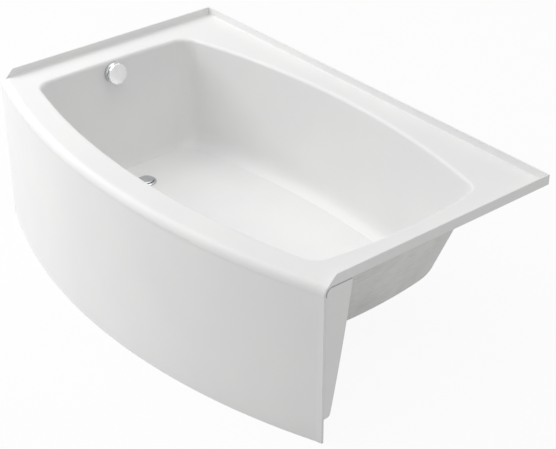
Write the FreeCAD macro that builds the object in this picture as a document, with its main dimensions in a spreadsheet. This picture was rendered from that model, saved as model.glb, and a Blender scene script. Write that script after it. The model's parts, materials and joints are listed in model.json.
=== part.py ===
import FreeCAD, Part

# Alcove bath with a bowed apron, an upturned tile flange on three sides and
# a dial-operated pop-up waste.  Millimetres.  X runs along the bath (the
# waste is at the -X end), +Y points to the back wall, Z is up and the floor
# is Z = 0.  The origin is the centre of the bath's footprint.
import math
import os
from types import SimpleNamespace

import Sketcher
from FreeCAD import Placement, Rotation, Vector

DOC = FreeCAD.newDocument("alcove_bath")
SHEET = DOC.addObject("Spreadsheet::Sheet", "dims")

# ---------------------------------------------------------------- sizes ---
SIZES = [
    # overall form
    ("bath_length", 1524.0, "between the end walls of the alcove"),
    ("end_depth", 813.0, "back wall to the apron at either end"),
    ("floor_bow", 152.0, "how far the apron stands out at mid length, floor"),
    ("deck_bow", 127.0, "the same under the rolled edge"),
    ("land_length", 17.0, "straight land at each end of the bow"),
    ("land_rise", 4.5, "how far the bow has come forward over the land"),
    ("deck_height", 483.0, "top of the deck above the floor"),
    # acrylic shell
    ("acrylic_wall", 5.0, "formed acrylic sheet"),
    ("backing_wall", 4.0, "glass-fibre layer behind the basin"),
    ("flange_rise", 25.0, "tile flange above the deck"),
    ("flange_wall", 5.0, "tile flange thickness"),
    ("flange_cove", 6.0, "fillet between deck and tile flange"),
    ("flange_nose", 9.0, "rounding at the front corner of an end flange"),
    ("front_roll", 25.0, "radius of the rolled front edge"),
    ("front_lip", 28.0, "rolled edge, deck to lower lip"),
    # basin
    ("drain_end_margin", 102.0, "deck width at the drain end, middle"),
    ("foot_end_margin", 79.0, "deck width at the backrest end, middle"),
    ("back_margin", 87.0, "deck width behind the basin, mid length"),
    ("front_margin", 102.0, "deck width before the basin, mid length"),
    ("back_bow_radius", 2400.0, "plan radius of the basin's back edge"),
    ("front_bow_radius", 2400.0, "plan radius of the basin's front edge"),
    ("drain_bow_radius", 6000.0, "plan radius of the basin's drain end"),
    ("rest_bow_radius", 1500.0, "plan radius of the basin's backrest end"),
    ("rim_corner", 58.0, "basin corner radius at the deck"),
    ("drain_floor_corner", 66.0, "corner radius at the floor, drain end"),
    ("rest_waist_corner", 120.0, "corner radius over the cove, backrest end"),
    ("rest_floor_corner", 160.0, "corner radius at the floor, backrest end"),
    ("rim_roll", 12.0, "rounding from the deck into the basin"),
    ("basin_floor", 108.0, "basin floor above the floor"),
    ("cove_height", 65.0, "height over which the walls turn into the floor"),
    ("drain_end_draft", 6.0, "lean of the drain-end wall, degrees"),
    ("backrest_draft", 23.0, "lean of the backrest, degrees"),
    ("side_draft", 3.5, "lean of the long walls, degrees"),
    ("drain_end_cove", 18.0, "reach of the cove at the drain end"),
    ("backrest_cove", 110.0, "reach of the cove under the backrest"),
    ("side_cove", 40.0, "reach of the cove along the long walls"),
    ("crease_rise", 13.0, "how steeply the cove meets the floor, over its last handle"),
    # apron and its end returns
    ("apron_wall", 6.0, "apron panel thickness"),
    ("return_wall", 5.0, "end return thickness"),
    ("return_gap", 4.0, "open joint between deck and end return"),
    ("return_top_width", 94.0, "end return width under the deck"),
    ("return_mid_width", 63.0, "end return width half way down"),
    ("return_low_width", 26.0, "end return width at its foot"),
    ("return_foot", 76.0, "foot of the end return above the floor"),
    ("return_toe", 12.0, "rounding at the return's foot"),
    ("rib_width", 40.0, "apron rib, along the bath"),
    ("rib_depth", 18.0, "apron rib, back from the apron"),
    ("rib_spacing", 360.0, "between apron ribs"),
    ("sill_depth", 30.0, "timber sill behind the apron's foot"),
    ("sill_height", 38.0, "height of that sill"),
    # timber under the deck and floor
    ("batten_thickness", 18.0, "deck battens"),
    ("batten_inset", 34.0, "deck battens in from the flange's outside"),
    ("batten_clear", 6.0, "deck battens to the basin's backing"),
    ("overflow_notch", 116.0, "gap in the drain-end batten"),
    ("saw_cut", 1.0, "open joint between the deck battens"),
    ("board_thickness", 15.0, "base board"),
    ("board_start", 330.0, "base board from the drain-end wall"),
    ("board_length", 800.0, "base board along the bath"),
    ("board_width", 440.0, "base board across the bath"),
    ("bearer_width", 38.0, "timber bearers under the base board"),
    ("bearer_spacing", 300.0, "between the bearers' centres"),
    ("pad_thickness", 8.0, "rubber pads under the bearers"),
    ("pad_length", 90.0, "rubber pad, along the bearer"),
    ("pad_setback", 20.0, "pad from the bearer's end"),
    # waste: places
    ("waste_from_wall", 468.0, "waste centre line from the back wall"),
    ("drain_from_end", 262.0, "drain centre from the drain-end wall"),
    ("overflow_drop", 41.0, "overflow centre below the deck, on the basin wall"),
    ("waste_height", 62.0, "centre of the horizontal waste pipe"),
    ("riser_setback", 40.0, "overflow pipe behind the basin wall"),
    # waste: drain fitting
    ("drain_hole", 46.5, "hole in the basin floor"),
    ("drain_ring", 66.0, "outside of the drain flange"),
    ("drain_ring_rise", 5.0, "drain flange above the floor"),
    ("drain_ring_edge", 1.0, "upright edge of the drain flange"),
    ("drain_thread", 44.0, "threaded body of the drain flange"),
    ("drain_bore", 38.0, "bore of the drain flange"),
    ("drain_body", 32.0, "drain flange below the basin floor"),
    ("drain_seat", 42.0, "diameter at which the stopper seals"),
    ("seal_thickness", 1.5, "sealing ring under the drain flange"),
    ("spider_thickness", 5.0, "guide spider in the drain flange"),
    ("spider_arm", 4.0, "width of a spider arm"),
    ("spider_root", 1.0, "how far an arm runs into the boss and the bore's wall"),
    ("guide_boss", 14.0, "boss that guides the stopper stem"),
    ("stem_diameter", 7.9, "stopper stem"),
    ("stopper_diameter", 50.0, "stopper cap"),
    ("stopper_rise", 10.5, "crown of the stopper above the basin floor"),
    ("stopper_edge", 0.8, "flat and chamfer round the stopper cap"),
    ("shoe_diameter", 56.0, "drain shoe body"),
    ("shoe_wall", 4.0, "bottom wall of the drain shoe"),
    ("gasket_thickness", 4.0, "rubber gasket on the drain shoe"),
    # waste: pipes
    ("pipe_diameter", 38.1, "drain shoe's pipe and the waste outlet"),
    ("pipe_bore", 34.0, "bore of those two"),
    ("riser_diameter", 34.9, "overflow pipe"),
    ("riser_bore", 31.7, "bore of the overflow pipe"),
    ("socket_diameter", 46.0, "outside of a slip-joint socket"),
    ("socket_depth", 14.0, "pipe seated in a slip-joint socket"),
    ("tee_arm", 36.0, "tee centre to a socket face"),
    ("tee_under", 24.0, "tee centre to the underside of its body"),
    ("outlet_end", 6.0, "end of the waste outlet above the floor"),
    ("pipe_end_gap", 1.0, "overflow pipe's ends to its sockets' seats"),
    ("nut_flats", 54.0, "slip nut across its flats"),
    ("nut_grip", 11.0, "slip nut over its socket"),
    ("nut_lip", 3.0, "end wall of a slip nut"),
    ("washer_thickness", 4.0, "slip-joint washer"),
    ("nut_clear", 0.6, "slip nut's eye over the pipe"),
    # overflow
    ("overflow_hole", 43.6, "hole in the basin wall"),
    ("plate_diameter", 68.0, "overflow face plate"),
    ("plate_depth", 14.0, "face plate out from the basin wall"),
    ("plate_wall", 3.0, "face plate thickness"),
    ("plate_seat", 0.3, "face plate's edge off the slightly bowed wall"),
    ("plate_boss", 16.0, "bearing boss of the face plate"),
    ("plate_boss_back", 6.0, "boss behind the basin wall's face"),
    ("flood_hole", 9.0, "flood holes in the face plate"),
    ("flood_ring", 22.0, "radius of the ring of flood holes"),
    ("spindle_diameter", 8.0, "dial spindle"),
    ("dial_diameter", 69.0, "dial across its corners"),
    ("dial_thickness", 12.0, "dial disc"),
    ("dial_gap", 5.0, "face plate to dial"),
    ("dial_hub", 18.0, "hub behind the dial"),
    ("dial_chamfer", 3.0, "chamfer round the dial's face"),
    ("hub_gap", 0.5, "dial hub to the face plate"),
    ("bore_end_gap", 1.0, "spindle to the end of the dial's blind bore"),
    ("set_screw", 4.0, "dial set screw"),
    ("set_screw_length", 10.0, "dial set screw"),
    ("clip_diameter", 14.0, "spindle clip"),
    ("clip_thickness", 1.0, "spindle clip"),
    ("screw_pitch", 30.0, "between the two face-plate screws"),
    ("screw_diameter", 4.8, "face-plate screws"),
    ("screw_head", 9.0, "head of a face-plate screw"),
    ("screw_length", 30.0, "face-plate screws under the head"),
    ("slot_width", 1.0, "slot in a face-plate screw"),
    ("slot_depth", 1.2, "depth of that slot"),
    ("elbow_flange", 58.0, "flange of the overflow elbow"),
    ("gasket_setback", 1.0, "gasket inside the flange's edge"),
    ("elbow_flange_wall", 4.0, "thickness of that flange"),
    ("chamber_diameter", 43.0, "overflow elbow body"),
    ("chamber_bore", 37.0, "inside of the overflow elbow"),
    ("chamber_end", 61.0, "closed end of the elbow behind the basin wall"),
    ("bridge_width", 9.0, "bridge in the elbow's mouth that takes the screws"),
    ("elbow_drop", 54.0, "elbow axis to its socket face"),
    # linkage
    ("crank_radius", 9.2, "spindle to crank pin"),
    ("crank_pin", 4.0, "crank pin"),
    ("crank_arm", 3.0, "thickness of the crank arm"),
    ("crank_offset", 4.0, "crank arm before the lift rod's axis"),
    ("crank_pin_reach", 8.0, "crank pin beyond the crank arm"),
    ("crank_web", 1.0, "metal round the spindle and pin in the arm"),
    ("yoke_thickness", 3.0, "slotted head of the lift rod"),
    ("slot_clear", 0.8, "crank pin to either side of its slot"),
    ("slot_edge", 1.8, "metal round that slot"),
    ("rod_diameter", 4.0, "lift rod"),
    ("plunger_diameter", 16.0, "plunger on the lift rod"),
    ("plunger_length", 42.0, "plunger on the lift rod"),
    ("plunger_chamfer", 2.0, "chamfer on top of the plunger"),
    ("lock_nut_flats", 9.0, "lock nut on the lift rod"),
    ("lock_nut_length", 4.0, "lock nut on the lift rod"),
    ("rocker_reach", 70.0, "rocker pivot to drain centre"),
    ("rocker_height", 6.0, "rocker arm"),
    ("rocker_width", 6.0, "rocker arm"),
    ("rocker_hub", 12.0, "rocker hub"),
    ("rocker_pin", 4.0, "rocker pivot pin"),
    ("contact_gap", 0.4, "stem and plunger to the rocker"),
    ("running_fit", 0.05, "radial clearance of a shaft in its bearing"),
    ("thread_fit", 0.15, "radial clearance of a seated or screwed joint"),
]


class Size:
    """A length that carries its value and the sheet formula behind it."""

    def __init__(self, value, formula):
        self.value = float(value)
        self.formula = formula

    def __add__(self, other):
        return Size(self.value + number(other), f"({self.formula} + {formula(other)})")

    def __sub__(self, other):
        return Size(self.value - number(other), f"({self.formula} - {formula(other)})")

    def __mul__(self, other):
        return Size(self.value * number(other), f"({self.formula} * {formula(other)})")

    def __truediv__(self, other):
        return Size(self.value / number(other), f"({self.formula} / {formula(other)})")

    def __neg__(self):
        return Size(-self.value, f"(0 - {self.formula})")

    def __rsub__(self, other):
        return Size(number(other) - self.value, f"({formula(other)} - {self.formula})")

    __radd__ = __add__
    __rmul__ = __mul__


def number(size):
    return size.value if isinstance(size, Size) else float(size)


def formula(size):
    return size.formula if isinstance(size, Size) else f"({float(size)!r})"


def cosine(angle):
    return Size(math.cos(math.radians(angle.value)), f"cos({angle.formula} * 1deg)")


def sine(angle):
    return Size(math.sin(math.radians(angle.value)), f"sin({angle.formula} * 1deg)")


def fill_sheet():
    """Writes the driving dimensions and gives each cell its alias."""
    for row, (alias, value, note) in enumerate(SIZES, start=1):
        SHEET.set(f"A{row}", note)
        SHEET.set(f"B{row}", repr(value))
        SHEET.setAlias(f"B{row}", alias)
    DOC.recompute()
    values = {alias: float(SHEET.get(alias)) for alias, _value, _note in SIZES}
    return SimpleNamespace(**values)


num = fill_sheet()
dim = SimpleNamespace(**{name: Size(value, f"dims.{name}") for name, value in vars(num).items()})

# ------------------------------------------------------- derived places ---
HALF_LENGTH = dim.bath_length / 2
WALL_Y = (dim.end_depth + dim.floor_bow) / 2
END_Y = WALL_Y - dim.end_depth
LIP_Z = dim.deck_height - dim.front_lip
UNDER_DECK = dim.deck_height - dim.acrylic_wall
FLANGE_TOP = dim.deck_height + dim.flange_rise
SHELL_AND_BACKING = dim.acrylic_wall + dim.backing_wall
UNDER_BASIN = dim.basin_floor - SHELL_AND_BACKING
AXIS_Y = WALL_Y - dim.waste_from_wall
DRAIN_X = dim.drain_from_end - HALF_LENGTH
DRAFT_COS = cosine(dim.drain_end_draft)
DRAFT_SIN = sine(dim.drain_end_draft)
OVERFLOW_X = (
    dim.drain_end_margin
    + dim.overflow_drop * DRAFT_SIN / DRAFT_COS
    - HALF_LENGTH
)
RISER_X = OVERFLOW_X - dim.riser_setback * DRAFT_COS
OVERFLOW_Z = dim.deck_height - dim.overflow_drop
CRANK_Z = OVERFLOW_Z - dim.riser_setback * DRAFT_SIN
PIVOT_X = DRAIN_X - dim.rocker_reach
ROCKER_TOP = dim.waste_height + dim.rocker_height / 2
NODES = {}
TOUCH = 1e-6  # lengths nearer than this count as equal
OVERCUT = 1.0  # how far a cutter passes the face that it opens
DIAL_SIDES = 10


# -------------------------------------------------------------- helpers ---
def bind(item, prop, size):
    """Sets a property and ties it to the sheet when the size comes from it."""
    if isinstance(size, Size):
        item.setExpression(prop, size.formula)
    else:
        setattr(item, prop, size)


def place(item, x=0.0, y=0.0, z=0.0, rotation=Rotation()):
    """Puts a sub-part in the frame and ties its position to the sheet."""
    item.Placement = Placement(Vector(number(x), number(y), number(z)), rotation)
    for axis, size in zip("xyz", (x, y, z)):
        if isinstance(size, Size):
            item.setExpression(f"Placement.Base.{axis}", size.formula)


def node(name, item):
    item.Label = name
    NODES[name] = item
    return item


def body(name):
    return DOC.addObject("PartDesign::Body", f"{name}_body")


def sketch_on(owner, role="XY_Plane", height=0.0):
    """A sketch on one of the body's own origin planes, lifted by height."""
    sketch = owner.newObject("Sketcher::SketchObject", f"{owner.Name}_sketch")
    plane = next(f for f in owner.Origin.OriginFeatures if f.Role == role)
    sketch.AttachmentSupport = [(plane, "")]
    sketch.MapMode = "FlatFace"
    sketch.AttachmentOffset = Placement(Vector(0, 0, number(height)), Rotation())
    if isinstance(height, Size):
        sketch.setExpression("AttachmentOffset.Base.z", height.formula)
    return sketch


def fix(sketch, kind, geometry, *rest):
    """Adds one constraint; its last argument is the size it holds."""
    *where, size = rest
    index = sketch.addConstraint(Sketcher.Constraint(kind, geometry, *where, number(size)))
    if isinstance(size, Size):
        sketch.setExpression(f"Constraints[{index}]", size.formula)


def draw_outline(sketch, points):
    """A closed outline of straight lines with every corner held by sizes."""
    corners = [Vector(number(x), number(y), 0) for x, y in points]
    first = sketch.GeometryCount
    for a, b in zip(corners, corners[1:] + corners[:1]):
        sketch.addGeometry(Part.LineSegment(a, b), False)
    for i, (x, y) in enumerate(points):
        following = first + (i + 1) % len(points)
        sketch.addConstraint(Sketcher.Constraint("Coincident", first + i, 2, following, 1))
        fix(sketch, "DistanceX", first + i, 1, x)
        fix(sketch, "DistanceY", first + i, 1, y)


def draw_circle(sketch, diameter, x=0.0, y=0.0):
    centre = Vector(number(x), number(y), 0)
    index = sketch.addGeometry(Part.Circle(centre, Vector(0, 0, 1), number(diameter) / 2), False)
    fix(sketch, "DistanceX", index, 3, x)
    fix(sketch, "DistanceY", index, 3, y)
    fix(sketch, "Diameter", index, diameter)


def revolve(owner, points, kind="Revolution"):
    """Turns a profile of (radius, height) points about the body's Z axis."""
    sketch = sketch_on(owner, "XZ_Plane")
    draw_outline(sketch, points)
    feature = owner.newObject(f"PartDesign::{kind}", f"{owner.Name}_turned")
    feature.Profile = sketch
    feature.ReferenceAxis = (sketch, ["V_Axis"])
    feature.Angle = 360.0
    return feature


def extrude(owner, sketch, length, kind="Pad", reverse=False, both=False):
    feature = owner.newObject(f"PartDesign::{kind}", f"{owner.Name}_{kind.lower()}")
    feature.Profile = sketch
    feature.Reversed = reverse
    feature.Midplane = both
    bind(feature, "Length", length)
    return feature


def through(owner, sketch):
    """Cuts a sketch right through the body, both ways from its plane."""
    feature = owner.newObject("PartDesign::Pocket", f"{owner.Name}_through")
    feature.Profile = sketch
    feature.Type = 1
    feature.Midplane = True
    return feature


def around(owner, original, count):
    """Repeats a feature round the body's Z axis."""
    pattern = owner.newObject("PartDesign::PolarPattern", f"{owner.Name}_ring")
    pattern.Originals = [original]
    pattern.Axis = (original.Profile[0], ["N_Axis"])
    pattern.Angle = 360.0
    pattern.Occurrences = count
    owner.Tip = pattern
    return pattern


def tube(owner, outside, inside, low, high):
    """A plain ring or pipe about the body's Z axis."""
    revolve(owner, [(inside / 2, low), (outside / 2, low), (outside / 2, high), (inside / 2, high)])


def regular(flats, sides, turn=0.0):
    """Corners of a regular polygon, given across its flats."""
    reach = 0.5 / math.cos(math.pi / sides)
    turns = [turn + 2 * math.pi * k / sides for k in range(sides)]
    return [(flats * (reach * math.cos(a)), flats * (reach * math.sin(a))) for a in turns]


def cylinder(diameter, length, base=Vector(), axis=Vector(0, 0, 1)):
    return Part.makeCylinder(diameter / 2, length, base, axis)


def feature(name, shape):
    """A sub-part whose solid is worked out here from the sheet's sizes."""
    item = DOC.addObject("Part::Feature", f"{name}_solid")
    item.Shape = shape
    return node(name, item)


def overflow_point(reach):
    """A point on the overflow axis, measured out from the basin wall."""
    return (
        OVERFLOW_X + reach * DRAFT_COS,
        AXIS_Y,
        OVERFLOW_Z + reach * DRAFT_SIN,
    )


OVERFLOW_TURN = Rotation(Vector(0, 1, 0), 90.0 - num.drain_end_draft)


def on_overflow(item, reach=0.0):
    """Lays a part's own Z axis along the overflow axis."""
    x, y, z = overflow_point(reach if isinstance(reach, Size) else dim.plate_wall * 0 + reach)
    place(item, x, y, z, OVERFLOW_TURN)


# ------------------------------------------------------- bath outlines ---
def bowed_front(bow, inset=0.0):
    """Front line in plan: a straight land, the bow as one arc, and a land."""
    end = HALF_LENGTH.value
    y_end = END_Y.value + inset
    y_land = y_end - num.land_rise
    land = end - num.land_length
    points = [Vector(-end, y_end), Vector(-land, y_land), Vector(0, y_end - bow)]
    points += [Vector(land, y_land), Vector(end, y_end)]
    return [
        Part.LineSegment(points[0], points[1]).toShape(),
        Part.Arc(points[1], points[2], points[3]).toShape(),
        Part.LineSegment(points[3], points[4]).toShape(),
    ], points


def plan_area(bow, z, inset=0.0, back=None, over=0.0):
    """Face at height z from the front line back to a straight back line."""
    edges, points = bowed_front(bow, inset)
    back = WALL_Y.value if back is None else back
    start, end = points[0], points[-1]
    corners = [
        end,
        Vector(end.x + over, end.y),
        Vector(end.x + over, back),
        Vector(start.x - over, back),
        Vector(start.x - over, start.y),
        start,
    ]
    for a, b in zip(corners, corners[1:]):
        if (b - a).Length > TOUCH:
            edges.append(Part.LineSegment(a, b).toShape())
    wire = Part.Wire(Part.__sortEdges__(edges))
    wire.translate(Vector(0, 0, z))
    return Part.Face(wire)


def round_corner(end, bow, radius, turn):
    """Corner between two arcs, given as (centre, radius) pairs.

    The corner's circle touches both from inside.  Gives its point on the
    first, its middle and its point on the second.  turn is +1 when the
    corner lies to the left of the way from the first centre to the second,
    and -1 to the right.
    """
    reach_a, reach_b = end[1] - radius, bow[1] - radius
    way = bow[0] - end[0]
    span = way.Length
    along = (reach_a ** 2 - reach_b ** 2 + span ** 2) / (2 * span)
    across = turn * math.sqrt(reach_a ** 2 - along ** 2)
    way = way.normalize()
    centre = end[0] + way * along + Vector(-way.y, way.x, 0) * across
    on_end = centre + (centre - end[0]).normalize() * radius
    on_bow = centre + (centre - bow[0]).normalize() * radius
    middle = (on_bow + on_end) * 0.5 - centre
    return on_end, centre + middle.normalize() * radius, on_bow


BASIN_MID = (dim.drain_end_margin - dim.foot_end_margin) / 2


def basin_outline(z, insets, corners, grow):
    """Closed basin outline: four bowed sides and four round corners.

    insets are how far the drain-end, backrest and long walls stand in from
    the rim line at this height, corners the radii at the drain end and the
    backrest end, and grow the thickness outside all that.
    """
    drain_in, rest_in, side_in = insets
    x_drain = -HALF_LENGTH.value + num.drain_end_margin + drain_in
    x_rest = HALF_LENGTH.value - num.foot_end_margin - rest_in
    y_back = WALL_Y.value - num.back_margin - side_in
    y_front = END_Y.value - num.deck_bow + num.front_margin + side_in
    x_mid, y_mid = BASIN_MID.value, (y_back + y_front) / 2
    middles = [
        Vector(x_drain, y_mid, 0),
        Vector(x_mid, y_back + grow, 0),
        Vector(x_rest, y_mid, 0),
        Vector(x_mid, y_front - grow, 0),
    ]
    ways = [Vector(1, 0, 0), Vector(0, -1, 0), Vector(-1, 0, 0), Vector(0, 1, 0)]
    radii = [num.drain_bow_radius, num.back_bow_radius, num.rest_bow_radius, num.front_bow_radius]
    drain, back, rest, front = [
        (middle + way * (radius + grow), radius + grow)
        for middle, way, radius in zip(middles, ways, radii)
    ]
    at_drain, at_rest = corners[0] + grow, corners[1] + grow
    a = round_corner(drain, back, at_drain, -1)
    b = round_corner(rest, back, at_rest, 1)
    c = round_corner(rest, front, at_rest, -1)
    d = round_corner(drain, front, at_drain, 1)
    edges = [
        Part.Arc(a[0], a[1], a[2]),
        Part.Arc(a[2], middles[1], b[2]),
        Part.Arc(b[2], b[1], b[0]),
        Part.Arc(b[0], middles[2], c[0]),
        Part.Arc(c[0], c[1], c[2]),
        Part.Arc(c[2], middles[3], d[2]),
        Part.Arc(d[2], d[1], d[0]),
        Part.Arc(d[0], middles[0], a[0]),
    ]
    wire = Part.Wire([edge.toShape() for edge in edges])
    wire.translate(Vector(0, 0, z))
    return wire


def draft_insets(z, grow):
    """Insets of the three kinds of wall on their straight, drafted part."""
    down = num.deck_height - z
    drafts = (num.drain_end_draft, num.backrest_draft, num.side_draft)
    slopes = [math.radians(angle) for angle in drafts]
    return [down * math.tan(a) - grow / math.cos(a) for a in slopes]


HANDLE = 0.5523  # handle length of a Bezier quarter turn, as a share of its side
RIM_STEPS = 5  # outlines lofted through from the wall to the deck
COVE_STEPS = 6  # and from the wall to the basin floor


def bezier(u, points):
    """Point at share u of a cubic Bezier curve given by four numbers."""
    weights = ((1 - u) ** 3, 3 * u * (1 - u) ** 2, 3 * u * u * (1 - u), u ** 3)
    return sum(weight * point for weight, point in zip(weights, points))


def rolled_levels(z_wall, z_flat, reach, corners, grow, steps, rise=0.0):
    """Outlines along a turn from the drafted walls towards a level plane.

    Each wall follows a cubic Bezier curve from its place at z_wall to an
    end at z_flat that lies reach further in.  The first handle runs along
    the wall and the last stands rise above the plane: 0 ends the turn
    level, and more leaves a crease.
    """
    handle = z_wall + HANDLE * (z_flat - z_wall)
    start = draft_insets(z_wall, grow)
    along = draft_insets(handle, grow)
    ends = [inset + far for inset, far in zip(draft_insets(z_wall, 0.0), reach)]
    levels = []
    for k in range(steps + 1):
        u = k / steps
        z = bezier(u, (z_wall, handle, z_flat + rise, z_flat))
        insets = [
            bezier(u, (p0, p1, p3 - HANDLE * (p3 - p0), p3))
            for p0, p1, p3 in zip(start, along, ends)
        ]
        radii = [first + (last - first) * u for first, last in corners]
        levels.append(basin_outline(z, insets, radii, grow))
    return levels


def basin_solid(grow):
    """The basin's space up to the deck (grow = 0), or that with its wall."""
    rim_low = num.deck_height - num.rim_roll
    cove_top = num.basin_floor + num.cove_height
    plain = [(num.rim_corner, num.rim_corner)] * 2
    out = [-num.rim_roll] * 3
    rim = rolled_levels(rim_low, num.deck_height - grow, out, plain, grow, RIM_STEPS)
    reach = (num.drain_end_cove, num.backrest_cove, num.side_cove)
    corners = [
        (num.rim_corner, num.drain_floor_corner),
        (num.rest_waist_corner, num.rest_floor_corner),
    ]
    floor = num.basin_floor - grow
    cove = rolled_levels(cove_top, floor, reach, corners, grow, COVE_STEPS, num.crease_rise)
    walls = Part.makeLoft([rim[0], cove[0]], True, True)
    return Part.makeLoft(rim, True, True).fuse([walls, Part.makeLoft(cove, True, False)])


# -------------------------------------------------------- acrylic shell ---
def edges_where(shape, test):
    return [edge for edge in shape.Edges if test(edge)]


def edge_along_x(shape, point):
    """The edge that runs along X through a point."""
    along = Vector(1, 0, 0)
    return edges_where(
        shape,
        lambda edge: edge.BoundBox.YLength + edge.BoundBox.ZLength < TOUCH
        and (edge.CenterOfMass - point).cross(along).Length < TOUCH,
    )


def front_edges(shape, z):
    """The three edges of the front line that lie at height z."""
    y_limit = END_Y.value + num.acrylic_wall + OVERCUT

    def test(edge):
        box = edge.BoundBox
        flat = abs(box.ZMin - z) < 1e-3 and abs(box.ZMax - z) < 1e-3
        return flat and box.YMax < y_limit and box.XLength > 0.5

    return edges_where(shape, test)


def deck_with_roll():
    """Deck sheet whose front edge rolls down into a lip."""
    deck = num.deck_height
    outside = plan_area(num.deck_bow, LIP_Z.value).extrude(Vector(0, 0, num.front_lip))
    outside = outside.makeFillet(num.front_roll, front_edges(outside, deck))
    wall = num.acrylic_wall
    low = LIP_Z.value - OVERCUT
    inside = plan_area(num.deck_bow, low, wall, WALL_Y.value + OVERCUT, OVERCUT)
    inside = inside.extrude(Vector(0, 0, UNDER_DECK.value - low))
    inside = inside.makeFillet(num.front_roll - wall, front_edges(inside, UNDER_DECK.value))
    return outside.cut(inside)


def side_plate():
    """End flange in the plane X = 0, with the rolled edge's closed end.

    From the lip it follows the roll up to its steepest 45 degrees, leaves it
    there as a straight slope and ends at the flange's top.
    """
    front = END_Y.value
    low = UNDER_DECK.value
    top = FLANGE_TOP.value
    roll = num.front_roll
    inner = roll - num.acrylic_wall
    centre = Vector(0, front + roll, num.deck_height - roll)
    steep = math.sqrt(0.5)
    touch = centre + Vector(0, -roll * steep, roll * steep)
    early = centre + Vector(0, -roll * math.cos(math.pi / 8), roll * math.sin(math.pi / 8))
    lip_out = Vector(0, front, LIP_Z.value)
    lip_in = Vector(0, front + num.acrylic_wall, LIP_Z.value)
    roll_low = centre + Vector(0, -roll, 0)
    slope_top = Vector(0, touch.y + top - touch.z, top)
    inside_low = centre + Vector(0, -inner, 0)
    inside_mid = centre + Vector(0, -inner * steep, inner * steep)
    inside_top = centre + Vector(0, 0, inner)
    back_top = Vector(0, WALL_Y.value, top)
    back_low = Vector(0, WALL_Y.value, low)
    edges = [
        Part.LineSegment(lip_out, roll_low),
        Part.Arc(roll_low, early, touch),
        Part.LineSegment(touch, slope_top),
        Part.LineSegment(slope_top, back_top),
        Part.LineSegment(back_top, back_low),
        Part.LineSegment(back_low, inside_top),
        Part.Arc(inside_top, inside_mid, inside_low),
        Part.LineSegment(inside_low, lip_in),
        Part.LineSegment(lip_in, lip_out),
    ]
    face = Part.Face(Part.Wire([edge.toShape() for edge in edges]))
    plate = face.extrude(Vector(num.flange_wall, 0, 0))
    return plate.makeFillet(num.flange_nose, edge_along_x(plate, slope_top))


def tile_flange():
    """Upturned flange along the back and both ends."""
    half = HALF_LENGTH.value
    low = UNDER_DECK.value
    rise = FLANGE_TOP.value - low
    corner = Vector(-half, WALL_Y.value - num.flange_wall, low)
    back = Part.makeBox(num.bath_length, num.flange_wall, rise, corner)
    left = side_plate()
    left.translate(Vector(-half, 0, 0))
    return back.fuse([left, left.mirror(Vector(), Vector(1, 0, 0))])


def cove_strip(length):
    """Hollow moulding along +X that fills the corner y = 0, z = 0."""
    size = num.flange_cove
    corner = Vector(0, 0, 0)
    side = Vector(0, size, 0)
    rise = Vector(0, 0, size)
    dip = size * (1 - math.sqrt(0.5))
    hollow = Part.Arc(side, Vector(0, dip, dip), rise).toShape()
    flat = Part.LineSegment(corner, side).toShape()
    upright = Part.LineSegment(rise, corner).toShape()
    return Part.Face(Part.Wire([flat, hollow, upright])).extrude(Vector(length, 0, 0))


def flange_coves():
    """Hollow mouldings where the tile flange stands on the deck."""
    size = num.flange_cove
    x = HALF_LENGTH.value - num.flange_wall
    y = WALL_Y.value - num.flange_wall
    z = num.deck_height
    run = y - (END_Y.value + num.front_roll)
    back = cove_strip(2 * x)
    back.Placement = Placement(Vector(x, y, z), Rotation(Vector(0, 0, 1), 180))
    left = cove_strip(run)
    left.Placement = Placement(Vector(-x, y, z), Rotation(Vector(0, 0, 1), -90))
    tip = Part.makeBox(4 * size, 4 * size, 4 * size)
    tip.rotate(Vector(), Vector(0, 0, 1), 45)
    tip.translate(Vector(-x, y - run - 5 * size, z - size))
    left = left.cut(tip)
    right = left.mirror(Vector(), Vector(1, 0, 0))
    return back.fuse([left, right])


def bath_shell():
    shell = deck_with_roll().fuse([tile_flange(), flange_coves()])
    shell = shell.fuse(basin_solid(num.acrylic_wall)).cut(basin_solid(0.0))
    return shell.cut(overflow_drill()).cut(drain_drill()).removeSplitter()


def overflow_drill():
    """Drill for the overflow hole, square to the drain-end wall."""
    reach = dim.riser_setback
    x, y, z = (number(c) for c in overflow_point(-reach))
    axis = Vector(DRAFT_COS.value, 0, DRAFT_SIN.value)
    return cylinder(num.overflow_hole, 2 * reach.value, Vector(x, y, z), axis)


def drain_drill():
    base = Vector(DRAIN_X.value, AXIS_Y.value, 0.0)
    return cylinder(num.drain_hole, num.basin_floor + num.cove_height, base)


feature("bath_shell", bath_shell())


# -------------------------------------------------------------- backing ---
def basin_backing():
    """Glass-fibre layer on the outside of the basin, up to below the rim."""
    layer = basin_solid(SHELL_AND_BACKING.value).cut(basin_solid(num.acrylic_wall))
    top = num.deck_height - num.rim_roll
    half = HALF_LENGTH.value
    above = Part.makeBox(2 * half, 2 * half, num.rim_roll * 2, Vector(-half, -half, top))
    return layer.cut(above).cut(overflow_drill()).cut(drain_drill())


feature("basin_backing", basin_backing())


# ---------------------------------------------------------------- apron ---
def apron_outline(bow, z, near, far):
    """Closed plan outline between two offsets behind the apron's face."""
    front, points = bowed_front(bow, near)
    back, ends = bowed_front(bow, far)
    edges = front + [Part.LineSegment(points[-1], ends[-1]).toShape()]
    edges += back + [Part.LineSegment(ends[0], points[0]).toShape()]
    wire = Part.Wire(Part.__sortEdges__(edges))
    wire.translate(Vector(0, 0, z))
    return wire


def apron_layer(near, far):
    """Ruled solid behind the apron's face, from the floor to the lip."""
    low = apron_outline(num.floor_bow, 0.0, near, far)
    high = apron_outline(num.deck_bow, LIP_Z.value, near, far)
    return Part.makeLoft([low, high], True, True)


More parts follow.
